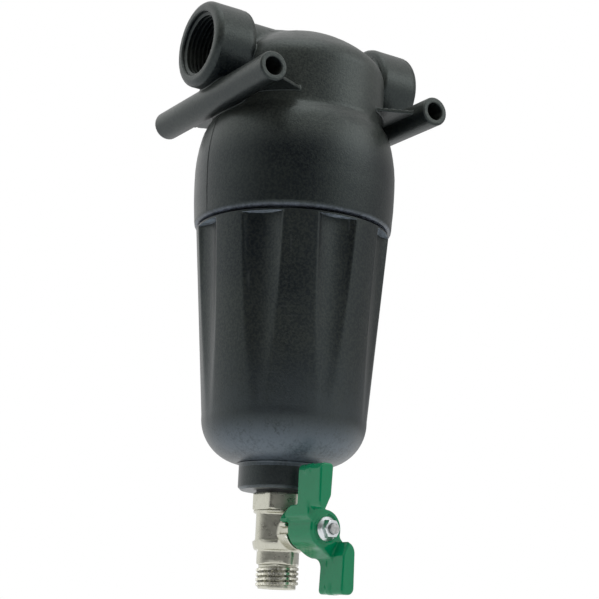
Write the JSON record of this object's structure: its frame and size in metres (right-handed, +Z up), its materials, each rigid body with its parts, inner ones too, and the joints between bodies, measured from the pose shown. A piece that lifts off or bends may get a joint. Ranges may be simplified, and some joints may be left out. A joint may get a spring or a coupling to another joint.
{
  "type": "inline pressure filter",
  "caption": "Inline pressure filter: moulded head with threaded ports and bolt tubes, fluted screw-on bowl, screen cartridge and drain ball valve.",
  "frame": {"origin": "midway between the two mounting-bolt holes, on their axes' plane and on the filter's own vertical axis", "axes": "+Z up along the filter; +X from the inlet to the outlet; +Y along the mounting bolts, towards the wall side, so the drain handle faces -Y"},
  "size_m": [0.1244, 0.11, 0.2951],
  "materials": {
    "black_polypropylene": "satin moulded black polypropylene",
    "screen_plastic": "natural moulded plastic",
    "stainless_mesh": "woven stainless mesh",
    "rubber": "black rubber ring",
    "nickelled_brass": "nickel-plated brass, lightly cast",
    "bare_brass": "turned brass",
    "chromed_ball": "polished chrome",
    "white_seat": "smooth white sealing plastic",
    "green_enamel": "glossy green enamel on cast aluminium",
    "zinc_steel": "bright zinc plate"
  },
  "bodies": {
    "head": {"head_casing": "black_polypropylene"},
    "cartridge": {"cartridge_collar": "screen_plastic", "collar_ring": "rubber", "screen_cage": "screen_plastic", "screen_mesh": "stainless_mesh", "screen_end_cap": "screen_plastic"},
    "bowl": {"bowl": "black_polypropylene", "bowl_ring": "rubber", "insert_seal": "rubber", "valve_insert": "nickelled_brass", "valve_body": "nickelled_brass", "upper_ball_seat": "white_seat", "lower_ball_seat": "white_seat", "thrust_washer": "white_seat", "stem_packing": "white_seat", "gland_nut": "bare_brass"},
    "drain_handle": {"ball": "chromed_ball", "valve_stem": "bare_brass", "handle": "green_enamel", "handle_nut": "zinc_steel"}
  },
  "joints": [
    {"name": "thread_advance", "type": "slide", "parent": "head", "child": "cartridge", "axis": [0, 0, -1], "range_m": [0, 0.015]},
    {"name": "bowl_turn", "type": "hinge", "parent": "cartridge", "child": "bowl", "pos_m": [0, 0, -0.1834], "axis": [0, 0, -1], "range_deg": [0, 1080]},
    {"name": "drain_turn", "type": "hinge", "parent": "bowl", "child": "drain_handle", "pos_m": [0, 0, -0.2157], "axis": [-0.1028, 0.9947, 0], "range_deg": [0, 90]}
  ],
  "couplings": [
    {"joint": "thread_advance", "follows": "bowl_turn", "m_per_rad": 0.00079577}
  ]
}
